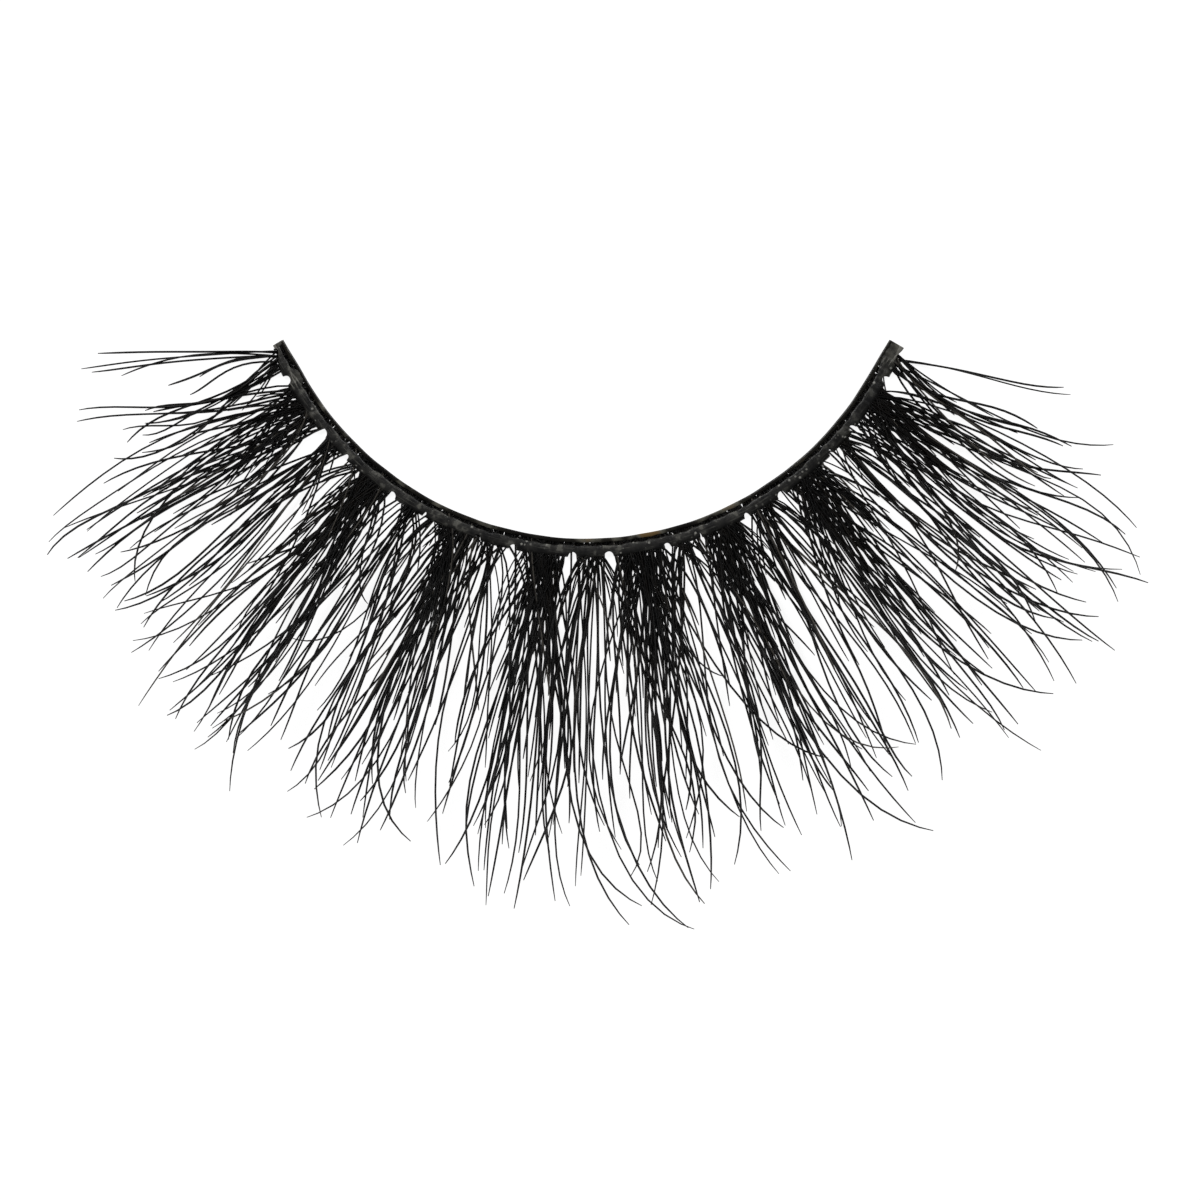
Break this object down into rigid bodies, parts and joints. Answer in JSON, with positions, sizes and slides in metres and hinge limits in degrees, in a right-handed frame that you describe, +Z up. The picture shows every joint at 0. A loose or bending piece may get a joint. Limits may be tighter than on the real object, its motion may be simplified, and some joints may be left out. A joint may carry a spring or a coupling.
{
  "type": "false eyelash strip",
  "caption": "Strip of curled false lashes: crossing locks of black hair tied to a thin band that is bent to the line of the eyelid.",
  "frame": {"origin": "middle of the band's underside, on the band's middle line", "axes": "+X along the band towards the longer-haired end, +Y towards the inside of the bend, +Z up from the underside to the side that the tips curl to"},
  "size_m": [0.0484, 0.026, 0.0076],
  "materials": {
    "lash_hair": "satin black hair",
    "dark_glue": "dried glue, satin",
    "brown_nylon": "smooth nylon"
  },
  "bodies": {
    "root": {"lash_fringe": "lash_hair", "glue_strip": "dark_glue", "seal_thread": "brown_nylon"}
  },
  "joints": []
}
